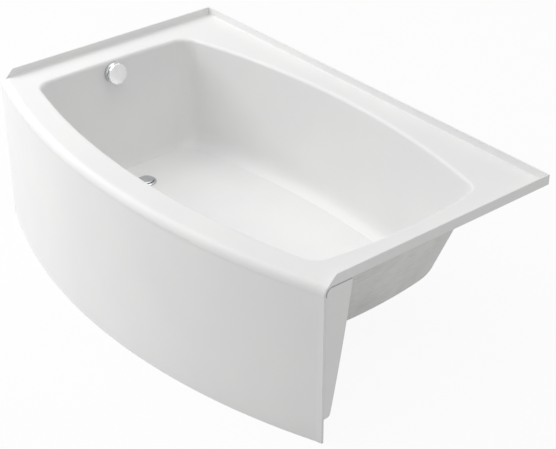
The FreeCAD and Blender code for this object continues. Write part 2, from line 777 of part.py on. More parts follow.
def upright(x, width, low, high):
    """Tall box across the whole bath, for picking a stretch of a layer."""
    depth = 4 * WALL_Y.value
    return Part.makeBox(width, depth, high - low, Vector(x - width / 2, -depth / 2, low))


def end_return():
    """Panel that closes the apron's end, at the +X end."""
    front = END_Y.value
    top = UNDER_DECK.value - num.return_gap
    gap = num.acrylic_wall + num.return_gap
    radius = num.front_roll - gap
    cy, cz = front + num.front_roll, num.deck_height - num.front_roll
    steep = math.sqrt(0.5)
    ahead = front - num.floor_bow
    notch = LIP_Z.value - num.return_gap
    low = num.return_foot
    middle = (top + low) / 2
    points = [
        Vector(0, front + num.return_top_width, top),
        Vector(0, cy, top),
        Vector(0, cy - radius, cz),
        Vector(0, cy - radius, notch),
        Vector(0, ahead, notch),
        Vector(0, ahead, low),
        Vector(0, front + num.return_low_width, low),
    ]
    bend = Vector(0, cy - radius * steep, cz + radius * steep)
    waist = Vector(0, front + num.return_mid_width, middle)
    edges = [
        Part.LineSegment(points[0], points[1]),
        Part.Arc(points[1], bend, points[2]),
        Part.LineSegment(points[2], points[3]),
        Part.LineSegment(points[3], points[4]),
        Part.LineSegment(points[4], points[5]),
        Part.LineSegment(points[5], points[6]),
        Part.Arc(points[6], waist, points[0]),
    ]
    face = Part.Face(Part.Wire([edge.toShape() for edge in edges]))
    panel = face.extrude(Vector(num.return_wall, 0, 0))
    panel = panel.makeFillet(num.return_toe, edge_along_x(panel, points[6]))
    panel.translate(Vector(HALF_LENGTH.value - num.return_wall, 0, 0))
    return panel.cut(apron_layer(-2 * num.floor_bow, num.apron_wall))


def apron_ribs():
    """Upright stiffeners bonded to the back of the apron."""
    layer = apron_layer(num.apron_wall, num.apron_wall + num.rib_depth)
    low = num.sill_height
    high = LIP_Z.value - num.rib_depth
    reach = int((HALF_LENGTH.value - num.return_top_width) / num.rib_spacing)
    places = [k * num.rib_spacing for k in range(-reach, reach + 1)]
    return [layer.common(upright(x, num.rib_width, low, high)) for x in places]


feature("apron_panel", apron_layer(0.0, num.apron_wall))
feature("apron_end_return_right", end_return())
feature("apron_end_return_left", end_return().mirror(Vector(), Vector(1, 0, 0)))
feature("apron_ribs", Part.makeCompound(apron_ribs()))

SILL_LENGTH = num.bath_length - 2 * num.return_top_width
SILL = apron_layer(num.apron_wall, num.apron_wall + num.sill_depth)
feature("apron_floor_sill", SILL.common(upright(0.0, SILL_LENGTH, 0.0, num.sill_height)))


# --------------------------------------------------- timber under the deck ---
def batten_frame():
    """Plywood ring glued under the deck, clear of the basin."""
    low = UNDER_DECK.value - num.batten_thickness
    inset = num.batten_inset
    ring = plan_area(num.deck_bow, low, inset, WALL_Y.value - inset)
    ring = ring.extrude(Vector(0, 0, num.batten_thickness))
    ring = ring.common(upright(0.0, num.bath_length - 2 * inset, low, UNDER_DECK.value))
    flare = [-num.rim_roll] * 3
    clear = num.acrylic_wall + num.batten_clear
    well = Part.Face(basin_outline(low, flare, [num.rim_corner] * 2, clear))
    return ring.cut(well.extrude(Vector(0, 0, num.batten_thickness)))


def batten_pieces():
    """The ring sawn into its front, back and two end battens."""
    ring = batten_frame()
    low, high = UNDER_DECK.value - num.batten_thickness, UNDER_DECK.value
    half = HALF_LENGTH.value
    wide = 4 * half
    front_cut = END_Y.value + num.front_margin
    back_cut = WALL_Y.value - num.back_margin - num.rim_corner
    saw = num.saw_cut
    notch_low = AXIS_Y.value - num.overflow_notch / 2

    def box(x_low, x_high, y_low, y_high):
        return Part.makeBox(
            x_high - x_low, y_high - y_low, high - low, Vector(x_low, y_low, low)
        )

    notch = box(-wide, 0, notch_low, notch_low + num.overflow_notch)
    return {
        "deck_batten_front": ring.common(box(-wide, wide, -wide, front_cut - saw)),
        "deck_batten_back": ring.common(box(-wide, wide, back_cut + saw, wide)),
        "deck_batten_drain_end": ring.common(box(-wide, 0, front_cut, back_cut)).cut(notch),
        "deck_batten_foot_end": ring.common(box(0, wide, front_cut, back_cut)),
    }


for batten_name, batten_shape in batten_pieces().items():
    feature(batten_name, batten_shape)


# ------------------------------------------------------------ bath base ---
def slab(name, length, width, height, x, y, z):
    """A rectangular board as a padded sketch, centred on x and y."""
    owner = body(name)
    sketch = sketch_on(owner)
    half_l, half_w = length / 2, width / 2
    corners = [(-half_l, -half_w), (half_l, -half_w), (half_l, half_w), (-half_l, half_w)]
    draw_outline(sketch, corners)
    extrude(owner, sketch, height)
    place(owner, x, y, z)
    return owner


def group(name, items):
    """Several like pieces that share one node."""
    compound = DOC.addObject("Part::Compound", f"{name}_group")
    compound.Links = items
    return node(name, compound)


BOARD_X = dim.board_start + dim.board_length / 2 - HALF_LENGTH
BOARD_Y = (dim.front_margin - dim.deck_bow - dim.back_margin + WALL_Y + END_Y) / 2
BOARD_Z = UNDER_BASIN - dim.board_thickness
BEARER_HEIGHT = BOARD_Z - dim.pad_thickness
node(
    "base_board",
    slab("base_board", dim.board_length, dim.board_width, dim.board_thickness, BOARD_X, BOARD_Y, BOARD_Z),
)
pads = []
for side, title in ((-1, "front"), (1, "rear")):
    bearer_y = BOARD_Y + dim.bearer_spacing * side / 2
    bearer_name = f"base_bearer_{title}"
    bearer = slab(
        bearer_name, dim.board_length, dim.bearer_width, BEARER_HEIGHT, BOARD_X, bearer_y, dim.pad_thickness
    )
    node(bearer_name, bearer)
    for end in (-1, 1):
        offset = (dim.board_length / 2 - dim.pad_setback - dim.pad_length / 2) * end
        pad_name = f"pad_{title}_{end + 1}"
        pad = slab(
            pad_name,
            dim.pad_length,
            dim.bearer_width,
            dim.pad_thickness,
            BOARD_X + offset,
            bearer_y,
            dim.pad_thickness * 0,
        )
        pads.append(pad)
group("bearer_pads", pads)

# -------------------------------------------------------- drain fitting ---
FIT = dim.thread_fit * 2
RUN = dim.running_fit * 2


def turned(name, points, x, y, z):
    """A turned piece: its (radius, height) profile about a vertical axis."""
    owner = body(name)
    revolve(owner, points)
    place(owner, x, y, z)
    return owner


def drain_flange():
    """Flange with its threaded body, dished seat and stem guide."""
    bore, thread, ring = dim.drain_bore / 2, dim.drain_thread / 2, dim.drain_ring / 2
    low, seal, rise = -dim.drain_body, dim.seal_thickness, dim.drain_ring_rise
    seat = dim.drain_seat / 2
    owner = turned(
        "drain_flange",
        [
            (bore, low),
            (thread, low),
            (thread, seal),
            (ring, seal),
            (ring, seal + dim.drain_ring_edge),
            (ring - rise * 0.7, rise),
            (ring - rise * 1.3, rise),
            (seat, rise / 2),
            (bore, rise * 0),
        ],
        DRAIN_X,
        AXIS_Y,
        dim.basin_floor,
    )
    boss = sketch_on(owner, "XY_Plane", low)
    draw_circle(boss, dim.guide_boss)
    draw_circle(boss, dim.stem_diameter + RUN)
    extrude(owner, boss, dim.spider_thickness * 2)
    arm = sketch_on(owner, "XY_Plane", low)
    near, far = dim.guide_boss / 2 - dim.spider_root, bore + dim.spider_root
    half = dim.spider_arm / 2
    draw_outline(arm, [(near, -half), (far, -half), (far, half), (near, half)])
    around(owner, extrude(owner, arm, dim.spider_thickness), 3)
    return owner


def drain_stopper():
    """Crowned cap on a round-nosed stem."""
    stem, cap = dim.stem_diameter / 2, dim.stopper_diameter / 2
    foot = ROCKER_TOP + dim.contact_gap - dim.basin_floor
    under = dim.drain_ring_rise + dim.contact_gap
    crown, edge = dim.stopper_rise, dim.stopper_edge
    return turned(
        "drain_stopper",
        [
            (dim.stem_diameter * 0, foot),
            (stem * 0.4, foot),
            (stem, foot + stem),
            (stem, under),
            (cap - edge * 2, under),
            (cap, under + edge),
            (cap, under + edge * 2),
            (cap * 0.8, crown - edge),
            (cap * 0.45, crown - edge / 4),
            (dim.stem_diameter * 0, crown),
        ],
        DRAIN_X,
        AXIS_Y,
        dim.basin_floor,
    )


def ring_piece(name, outside, inside, low, thickness, x=DRAIN_X):
    radii = (inside / 2, outside / 2)
    high = low + thickness
    points = [(radii[0], low), (radii[1], low), (radii[1], high), (radii[0], high)]
    return turned(name, points, x, AXIS_Y, dim.thread_fit * 0)


node("drain_flange", drain_flange())
node("drain_stopper", drain_stopper())
SEAL_LOW = dim.basin_floor + dim.drain_ring_rise / 2 + dim.contact_gap
SEAL_HEIGHT = dim.drain_ring_rise / 2
node(
    "stopper_seal",
    ring_piece("stopper_seal", dim.drain_seat, dim.stem_diameter, SEAL_LOW, SEAL_HEIGHT),
)
RING_INSIDE = dim.drain_thread + FIT
node(
    "drain_flange_seal",
    ring_piece(
        "drain_flange_seal",
        dim.drain_ring - dim.drain_ring_rise * 2,
        RING_INSIDE,
        dim.basin_floor,
        dim.seal_thickness,
    ),
)
SHOE_TOP = UNDER_BASIN - dim.gasket_thickness
node(
    "drain_gasket",
    ring_piece("drain_gasket", dim.shoe_diameter, RING_INSIDE, SHOE_TOP, dim.gasket_thickness),
)


def drain_shoe():
    """Shoe under the drain with its pipe towards the tee."""
    axis = Vector(DRAIN_X.value, AXIS_Y.value, 0)
    pipe_z = num.waste_height
    low = pipe_z - num.pipe_bore / 2 - num.shoe_wall
    top = SHOE_TOP.value
    end_x = RISER_X.value + num.tee_arm - num.socket_depth
    pipe_length = DRAIN_X.value - end_x
    start = Vector(end_x, AXIS_Y.value, pipe_z)
    along = Vector(1, 0, 0)
    block = cylinder(num.shoe_diameter, top - low, axis + Vector(0, 0, low))
    shoe = block.fuse(cylinder(num.pipe_diameter, pipe_length, start, along))
    cavity_low = axis + Vector(0, 0, low + num.shoe_wall)
    cavity = cylinder(num.drain_bore, top - low, cavity_low)
    thread_low = num.basin_floor - num.drain_body - num.thread_fit
    thread = cylinder(RING_INSIDE.value, top, axis + Vector(0, 0, thread_low))
    passage = cylinder(num.pipe_bore, pipe_length, start, along)
    pin = cylinder(
        num.rocker_pin + 2 * num.thread_fit,
        2 * num.pipe_diameter,
        Vector(PIVOT_X.value, AXIS_Y.value - num.pipe_diameter, pipe_z),
        Vector(0, 1, 0),
    )
    return shoe.cut(cavity.fuse([thread, passage, pin]))


feature("drain_shoe", drain_shoe())

# ------------------------------------------------------- pipes and tee ---
SIDE_SOCKET = dim.pipe_diameter + FIT
RISER_SOCKET = dim.riser_diameter + FIT


def waste_tee():
    """Tee with two slip-joint sockets and a plain outlet below."""
    centre = Vector(RISER_X.value, AXIS_Y.value, num.waste_height)
    arm, depth, under = num.tee_arm, num.socket_depth, num.tee_under
    up, side = Vector(0, 0, 1), Vector(1, 0, 0)
    tail = num.waste_height - num.outlet_end
    solid = cylinder(num.socket_diameter, arm + under, centre - up * under, up)
    solid = solid.fuse(cylinder(num.socket_diameter, arm, centre, side))
    solid = solid.fuse(cylinder(num.pipe_diameter, tail, centre - up * tail, up))
    hollow = cylinder(num.pipe_bore, arm + tail, centre - up * tail, up)
    hollow = hollow.fuse(cylinder(num.pipe_bore, arm, centre, side))
    seat = arm - depth
    above = cylinder(RISER_SOCKET.value, depth, centre + up * seat, up)
    beside = cylinder(SIDE_SOCKET.value, depth, centre + side * seat, side)
    return solid.cut(hollow.fuse([above, beside]))


def overflow_elbow():
    """Chamber behind the overflow hole, with a bridge and a socket below."""
    wall = SHELL_AND_BACKING.value + num.gasket_thickness
    x, y, z = (number(c) for c in overflow_point(Size(-wall, "0")))
    mouth = Vector(x, y, z)
    inward = Vector(-DRAFT_COS.value, 0, -DRAFT_SIN.value)
    length = num.chamber_end - wall
    solid = cylinder(num.elbow_flange, num.elbow_flange_wall, mouth, inward)
    solid = solid.fuse(cylinder(num.chamber_diameter, length, mouth, inward))
    socket_low = CRANK_Z.value - num.elbow_drop
    drop = Vector(RISER_X.value, AXIS_Y.value, socket_low)
    collar = num.socket_depth * 1.5
    solid = solid.fuse(cylinder(num.chamber_diameter, num.elbow_drop, drop))
    solid = solid.fuse(cylinder(num.socket_diameter, collar, drop))
    end_wall = (num.chamber_diameter - num.chamber_bore) / 2
    hollow = cylinder(num.chamber_bore, length - end_wall, mouth, inward)
    hollow = hollow.fuse(cylinder(num.riser_bore, num.elbow_drop, drop))
    hollow = hollow.fuse(cylinder(RISER_SOCKET.value, num.socket_depth, drop))
    bridge_length = num.chamber_bore + OVERCUT
    bridge = Part.makeBox(num.bridge_width, bridge_length, num.elbow_flange_wall)
    bridge.translate(Vector(-num.bridge_width / 2, -bridge_length / 2, 0))
    bridge.Placement = Placement(mouth, Rotation(Vector(0, 0, 1), inward)).multiply(bridge.Placement)
    eye = cylinder(num.spindle_diameter * 1.5, 2 * wall, mouth - inward * wall, inward)
    solid = solid.cut(hollow).fuse(bridge).cut(eye)
    for side in (-1, 1):
        hole = mouth - inward * wall + Vector(0, side * num.screw_pitch / 2, 0)
        solid = solid.cut(cylinder(num.screw_diameter + FIT.value, 3 * wall, hole, inward))
    return solid


feature("waste_tee", waste_tee())
feature("overflow_elbow", overflow_elbow())

TEE_TOP = dim.waste_height + dim.tee_arm
TEE_SIDE = RISER_X + dim.tee_arm
ELBOW_LOW = CRANK_Z - dim.elbow_drop
RISER_LOW = TEE_TOP - dim.socket_depth + dim.pipe_end_gap
RISER_LENGTH = ELBOW_LOW + dim.socket_depth - dim.pipe_end_gap - RISER_LOW
node(
    "overflow_pipe",
    ring_piece("overflow_pipe", dim.riser_diameter, dim.riser_bore, RISER_LOW, RISER_LENGTH, RISER_X),
)


def slip_nut(name, pipe):
    """Six-sided nut: threaded skirt over the socket, lip round the pipe."""
    owner = body(name)
    low, high = -dim.nut_grip, dim.washer_thickness + dim.nut_lip
    blank = sketch_on(owner, "XY_Plane", low)
    draw_outline(blank, regular(dim.nut_flats, 6))
    extrude(owner, blank, high - low)
    skirt = sketch_on(owner, "XY_Plane", low)
    draw_circle(skirt, dim.socket_diameter + FIT)
    extrude(owner, skirt, dim.washer_thickness - low, "Pocket", True)
    eye = sketch_on(owner)
    draw_circle(eye, pipe + dim.nut_clear)
    through(owner, eye)
    return owner


def slip_washer(name, pipe):
    owner = body(name)
    zero = dim.washer_thickness * 0
    tube(owner, dim.socket_diameter, pipe + RUN, zero, dim.washer_thickness)
    return owner


SLIP_JOINTS = [
    (dim.riser_diameter, RISER_X, TEE_TOP, Rotation()),
    (dim.pipe_diameter, TEE_SIDE, dim.waste_height, Rotation(Vector(0, 1, 0), 90)),
    (dim.riser_diameter, RISER_X, ELBOW_LOW, Rotation(Vector(1, 0, 0), 180)),
]
nuts = []
washers = []
for index, (pipe, joint_x, joint_z, turn) in enumerate(SLIP_JOINTS):
    nut = slip_nut(f"slip_nut_{index}", pipe)
    washer = slip_washer(f"slip_washer_{index}", pipe)
    place(nut, joint_x, AXIS_Y, joint_z, turn)
    place(washer, joint_x, AXIS_Y, joint_z, turn)
    nuts.append(nut)
    washers.append(washer)
group("slip_nuts", nuts)
group("slip_washers", washers)

# ------------------------------------------------------ overflow fitting ---
DIAL_BACK = dim.plate_depth + dim.dial_gap


def overflow_plate():
    """Domed cup over the overflow hole with a bearing for the spindle."""
    owner = body("overflow_face_plate")
    outside, wall, depth = dim.plate_diameter / 2, dim.plate_wall, dim.plate_depth
    boss, shaft = dim.plate_boss / 2, dim.spindle_diameter / 2 + dim.running_fit
    zero = dim.plate_wall * 0
    revolve(
        owner,
        [
            (shaft, -dim.plate_boss_back),
            (boss, -dim.plate_boss_back),
            (boss, depth - wall),
            (outside - wall, depth - wall),
            (outside - wall, dim.plate_seat),
            (outside, dim.plate_seat),
            (outside, depth - wall),
            (outside - wall, depth),
            (shaft, depth),
        ],
    )
    flood = sketch_on(owner)
    reach, turn = dim.flood_ring, math.pi / 6
    draw_circle(flood, dim.flood_hole, reach * math.cos(turn), reach * math.sin(turn))
    around(owner, through(owner, flood), 6)
    screws = sketch_on(owner)
    for side in (-1, 1):
        draw_circle(screws, dim.screw_diameter + FIT, zero, dim.screw_pitch * side / 2)
    through(owner, screws)
    on_overflow(owner)
    return owner


def overflow_dial():
    """Ten-sided dial with a chamfered face, a hub and a blind bore."""
    owner = body("overflow_dial")
    half_side = math.pi / DIAL_SIDES
    across = dim.dial_diameter * math.cos(half_side)
    blank = sketch_on(owner, "XY_Plane", DIAL_BACK)
    draw_outline(blank, regular(across, DIAL_SIDES, half_side))
    extrude(owner, blank, dim.dial_thickness)
    front = DIAL_BACK + dim.dial_thickness
    reach, cut = dim.dial_diameter / 2, dim.dial_chamfer
    outside = reach + cut
    revolve(owner, [(outside, front - cut * 2), (outside, front), (reach - cut, front)], "Groove")
    hub = sketch_on(owner, "XY_Plane", dim.plate_depth + dim.hub_gap)
    draw_circle(hub, dim.dial_hub)
    extrude(owner, hub, dim.dial_gap)
    bore = sketch_on(owner, "XY_Plane", dim.plate_depth)
    draw_circle(bore, dim.spindle_diameter + FIT)
    extrude(owner, bore, dim.dial_gap + dim.dial_thickness - dim.plate_wall, "Pocket", True)
    screw = sketch_on(owner, "YZ_Plane")
    draw_circle(screw, dim.set_screw + FIT, dim.set_screw * 0, DIAL_BACK + dim.dial_thickness / 2)
    extrude(owner, screw, dim.dial_diameter, "Pocket", True)
    on_overflow(owner)
    return owner


def crank_spindle():
    """Spindle with the crank arm and pin that drives the lift rod."""
    front = DIAL_BACK.value + num.dial_thickness - num.plate_wall - num.bore_end_gap
    back = -num.riser_setback + num.crank_offset
    spindle = cylinder(num.spindle_diameter, front - back, Vector(0, 0, back))
    quarter = math.pi / 4
    pin = Vector(0, num.crank_radius * math.cos(quarter), 0)
    pin += Vector(-num.crank_radius * math.sin(quarter), 0, 0)
    web, reach = num.crank_web, num.crank_pin_reach
    wide = num.crank_pin + 2 * web
    head = cylinder(wide + 2 * web, num.crank_arm, pin + Vector(0, 0, back))
    root = cylinder(num.spindle_diameter + 2 * web, num.crank_arm, Vector(0, 0, back))
    bar = Part.makeBox(num.crank_radius, wide, num.crank_arm)
    bar.translate(Vector(0, -wide / 2, back))
    bar.rotate(Vector(), Vector(0, 0, 1), 135)
    peg = cylinder(num.crank_pin, reach + num.crank_arm, pin + Vector(0, 0, back - reach))
    return spindle.fuse([head, root, bar, peg]).removeSplitter()


def plate_screws():
    """Two slotted pan-head screws through the plate into the bridge."""
    screws = []
    for side in (-1, 1):
        base = Vector(0, side * num.screw_pitch / 2, num.plate_depth)
        shank_low = base - Vector(0, 0, num.screw_length)
        shank = cylinder(num.screw_diameter, num.screw_length, shank_low)
        head = cylinder(num.screw_head, num.screw_diameter / 2, base)
        slot = Part.makeBox(num.screw_head, num.slot_width, num.slot_depth)
        slot_low = num.screw_diameter / 2 - num.slot_depth
        slot.translate(base + Vector(-num.screw_head / 2, -num.slot_width / 2, slot_low))
        screws.append(shank.fuse(head).cut(slot))
    return Part.makeCompound(screws)


def laid(shape):
    """Lays a shape's Z axis along the overflow axis."""
    x, y, z = (number(c) for c in overflow_point(Size(0.0, "0")))
    shape.Placement = Placement(Vector(x, y, z), OVERFLOW_TURN).multiply(shape.Placement)
    return shape


node("overflow_face_plate", overflow_plate())
node("overflow_dial", overflow_dial())
feature("overflow_spindle", laid(crank_spindle()))
feature("overflow_plate_screws", laid(plate_screws()))

GASKET = body("overflow_gasket")
GASKET_OUT = -(SHELL_AND_BACKING + dim.gasket_thickness)
tube(GASKET, dim.elbow_flange - dim.gasket_setback * 2, dim.overflow_hole, GASKET_OUT, -SHELL_AND_BACKING)
on_overflow(GASKET)
node("overflow_gasket", GASKET)

CLIP = body("spindle_clip")
CLIP_HIGH = -(dim.plate_boss_back + dim.contact_gap)
tube(CLIP, dim.clip_diameter, dim.spindle_diameter, CLIP_HIGH - dim.clip_thickness, CLIP_HIGH)
on_overflow(CLIP)
node("spindle_clip", CLIP)

SET_SCREW = body("dial_set_screw")
SET_SKETCH = sketch_on(SET_SCREW, "YZ_Plane", dim.spindle_diameter / 2)
draw_circle(SET_SKETCH, dim.set_screw, dim.set_screw * 0, DIAL_BACK + dim.dial_thickness / 2)
extrude(SET_SCREW, SET_SKETCH, dim.set_screw_length)
on_overflow(SET_SCREW)
node("dial_set_screw", SET_SCREW)

# ------------------------------------------------------- lifting linkage ---
CRANK_RISE = num.crank_radius * math.sqrt(0.5)
PIN_Z = CRANK_Z.value + CRANK_RISE * DRAFT_COS.value


def yoke_plate():
    """Rounded plate with the crosswise slot that the crank pin rides in."""
    half_slot = num.crank_pin / 2 + num.slot_clear
    near = CRANK_RISE - half_slot
    far = num.crank_radius + half_slot
    edge = num.slot_edge
    left, right = -num.rod_diameter, far + edge
    height = half_slot + edge
    thick = num.yoke_thickness
    plate = Part.makeBox(thick, right - left, 2 * height, Vector(-thick / 2, left, -height))
    uprights = edges_where(plate, lambda e: abs(e.Length - thick) < TOUCH)
    plate = plate.makeFillet(height * 0.8, uprights)
    slot = Part.makeBox(2 * thick, far - near, 2 * half_slot, Vector(-thick, near, -half_slot))
    ends = edges_where(slot, lambda e: abs(e.Length - 2 * thick) < TOUCH)
    slot = slot.makeFillet(half_slot * 0.95, ends)
    return plate.cut(slot)


def lift_rod():
    """Yoke plate on its long rod, down into the plunger."""
    plate = yoke_plate()
    axis = Vector(RISER_X.value, AXIS_Y.value, 0)
    plate.translate(axis + Vector(0, 0, PIN_Z))
    low = ROCKER_TOP.value + num.plunger_length / 2
    rod = cylinder(num.rod_diameter, PIN_Z - low, axis + Vector(0, 0, low))
    return plate.fuse(rod).removeSplitter()


feature("lift_rod", lift_rod())

PLUNGER_LOW = ROCKER_TOP + dim.contact_gap
PLUNGER_TOP = PLUNGER_LOW + dim.plunger_length
BARREL = dim.plunger_diameter / 2
ROD_SEAT = dim.rod_diameter / 2 + dim.thread_fit
BLIND = ROCKER_TOP + dim.plunger_length / 2 - dim.thread_fit
AXIS_R = dim.rod_diameter * 0
node(
    "lift_plunger",
    turned(
        "lift_plunger",
        [
            (AXIS_R, PLUNGER_LOW),
            (dim.rod_diameter / 4, PLUNGER_LOW),
            (dim.rod_diameter, PLUNGER_LOW + dim.rod_diameter / 2),
            (BARREL, PLUNGER_LOW + dim.plunger_diameter / 2),
            (BARREL, PLUNGER_TOP - dim.plunger_chamfer),
            (BARREL - dim.plunger_chamfer, PLUNGER_TOP),
            (ROD_SEAT, PLUNGER_TOP),
            (ROD_SEAT, BLIND),
            (AXIS_R, BLIND),
        ],
        RISER_X,
        AXIS_Y,
        AXIS_R,
    ),
)
LOCK_NUT = body("rod_lock_nut")
LOCK_SKETCH = sketch_on(LOCK_NUT, "XY_Plane", PLUNGER_TOP)
draw_outline(LOCK_SKETCH, regular(dim.lock_nut_flats, 6))
draw_circle(LOCK_SKETCH, dim.rod_diameter + FIT)
extrude(LOCK_NUT, LOCK_SKETCH, dim.lock_nut_length)
place(LOCK_NUT, RISER_X, AXIS_Y)
node("rod_lock_nut", LOCK_NUT)


def rocker_arm():
    """Lever between the plunger and the stopper's stem."""
    tail = PIVOT_X.value - RISER_X.value + num.rocker_height
    head = num.rocker_reach + num.rocker_height
    half = num.rocker_height / 2
    arm = Part.makeBox(
        tail + head, num.rocker_width, num.rocker_height, Vector(-tail, -num.rocker_width / 2, -half)
    )
    tips = edges_where(
        arm, lambda e: abs(e.BoundBox.YLength - num.rocker_width) < TOUCH and e.BoundBox.ZMax < 0
    )
    arm = arm.makeFillet(half, tips)
    span = num.pipe_bore * 0.7
    across = Vector(0, 1, 0)
    hub = cylinder(num.rocker_hub, span, Vector(0, -span / 2, 0), across)
    bore = cylinder(num.rocker_pin + 2 * num.running_fit, 2 * span, Vector(0, -span, 0), across)
    arm = arm.fuse(hub).cut(bore)
    arm.translate(Vector(PIVOT_X.value, AXIS_Y.value, num.waste_height))
    return arm


feature("rocker_arm", rocker_arm())
PIN = DOC.addObject("Part::Cylinder", "rocker_pivot_pin_solid")
bind(PIN, "Radius", dim.rocker_pin / 2)
bind(PIN, "Height", dim.pipe_diameter)
place(PIN, PIVOT_X, AXIS_Y + dim.pipe_diameter / 2, dim.waste_height, Rotation(Vector(1, 0, 0), 90))
node("rocker_pivot_pin", PIN)


# --------------------------------------------------------------- output ---
def check_and_write():
    """Stops at any sub-part that failed, then writes one file per node."""
    DOC.recompute()
    faults = []
    for item in DOC.Objects:
        if {"Invalid", "Error"} & set(item.State):
            faults.append(f"{item.Name}: {item.State}")
    for name, item in NODES.items():
        shape = item.Shape
        if shape.isNull() or not shape.isValid() or not shape.Solids:
            faults.append(f"{name}: bad shape")
    if faults:
        raise RuntimeError("; ".join(faults))
    os.makedirs("parts", exist_ok=True)
    for name, item in NODES.items():
        item.Shape.exportStep(f"parts/{name}.step")
    print(len(NODES), "nodes written")


check_and_write()
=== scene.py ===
import json
import math

import bmesh
import bpy
import numpy as np
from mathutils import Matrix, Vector


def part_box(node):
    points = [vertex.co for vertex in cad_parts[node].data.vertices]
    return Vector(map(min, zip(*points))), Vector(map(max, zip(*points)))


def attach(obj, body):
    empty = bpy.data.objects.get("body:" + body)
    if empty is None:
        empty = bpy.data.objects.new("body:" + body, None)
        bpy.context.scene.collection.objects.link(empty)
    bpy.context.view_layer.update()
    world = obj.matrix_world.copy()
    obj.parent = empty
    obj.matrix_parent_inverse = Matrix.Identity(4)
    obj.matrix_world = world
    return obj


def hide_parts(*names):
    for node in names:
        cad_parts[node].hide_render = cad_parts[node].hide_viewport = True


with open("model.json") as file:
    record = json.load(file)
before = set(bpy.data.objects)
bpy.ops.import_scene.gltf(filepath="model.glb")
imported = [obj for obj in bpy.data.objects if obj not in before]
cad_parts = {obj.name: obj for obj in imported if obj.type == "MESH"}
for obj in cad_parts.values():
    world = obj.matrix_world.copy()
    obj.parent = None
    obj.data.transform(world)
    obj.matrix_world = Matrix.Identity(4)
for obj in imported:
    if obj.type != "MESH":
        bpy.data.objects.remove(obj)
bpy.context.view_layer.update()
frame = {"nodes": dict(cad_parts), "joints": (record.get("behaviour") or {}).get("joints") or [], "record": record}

NODES = frame["nodes"]
JOINTS = {joint["name"]: joint for joint in frame["joints"]}
MM = 0.001


# ----------------------------------------------------------------- nodes ---
def linear(code):
    """Linear RGBA of an sRGB colour written as hex."""
    parts = [int(code[i : i + 2], 16) / 255 for i in (1, 3, 5)]
    return [c / 12.92 if c <= 0.04045 else ((c + 0.055) / 1.055) ** 2.4 for c in parts] + [1.0]


def add(tree, kind, settings=None, links=None, stops=(), **props):
    """Adds a node: properties, socket values, links into it, and colour stops.

    A link comes from a socket, or from a node's first output.
    """
    node = tree.nodes.new(kind)
    for name, value in props.items():
        setattr(node, name, value)
    for socket, value in (settings or {}).items():
        node.inputs[socket].default_value = value
    for socket, source in (links or {}).items():
        if isinstance(source, bpy.types.Node):
            source = source.outputs[0]
        tree.links.new(source, node.inputs[socket])
    for index, (where, code) in enumerate(stops):
        bands = node.color_ramp.elements
        band = bands[index] if index < len(bands) else bands.new(where)
        band.position = where
        band.color = linear(code)
    return node


def new_finish(name):
    """A new empty material, its node tree and the object coordinates."""
    material = bpy.data.materials.new(name)
    material.use_nodes = True
    tree = material.node_tree
    tree.nodes.clear()
    return material, tree, add(tree, "ShaderNodeTexCoord").outputs["Object"]


def close_finish(tree, colour, rough, bump, edge, depth, **constants):
    """Ends a material: colour, roughness and bump links into one shader.

    bump is a 0 to 1 height worth depth metres, and edge the radius to which
    sharp edges are softened in the shading.  The constants are set on the
    shader's own sockets.
    """
    soft = add(tree, "ShaderNodeBevel", {"Radius": edge}, samples=6)
    relief = add(
        tree, "ShaderNodeBump", {"Strength": 1.0, "Distance": depth}, {"Height": bump, "Normal": soft}
    )
    links = {"Base Color": colour, "Roughness": rough, "Normal": relief}
    shader = add(tree, "ShaderNodeBsdfPrincipled", constants, links)
    add(tree, "ShaderNodeOutputMaterial", None, {"Surface": shader})


# ------------------------------------------------------------- materials ---
def white_cast_acrylic():
    """Cast acrylic sheet, vacuum formed: even white under a soft gloss."""
    material, tree, place = new_finish("white_cast_acrylic")
    # the sheet varies by a hair in tone over a hand's width
    tone = add(tree, "ShaderNodeTexNoise", {"Scale": 1 / (220 * MM), "Detail": 3.0}, {"Vector": place})
    colour = add(
        tree, "ShaderNodeValToRGB", None, {"Fac": tone}, [(0.3, "#f0f0f0"), (0.7, "#f3f3f2")]
    )
    # polishing haze in patches of some 35 mm
    haze = add(tree, "ShaderNodeTexNoise", {"Scale": 1 / (35 * MM), "Detail": 4.0}, {"Vector": place})
    rough = add(tree, "ShaderNodeMapRange", {"To Min": 0.38, "To Max": 0.46}, {"Value": haze})
    # forming ripple about 70 mm long and a few hundredths of a millimetre high
    ripple = add(tree, "ShaderNodeTexNoise", {"Scale": 1 / (70 * MM), "Detail": 1.0}, {"Vector": place})
    close_finish(tree, colour, rough, ripple.outputs["Fac"], 2 * MM, 0.05 * MM, IOR=1.49)
    return material


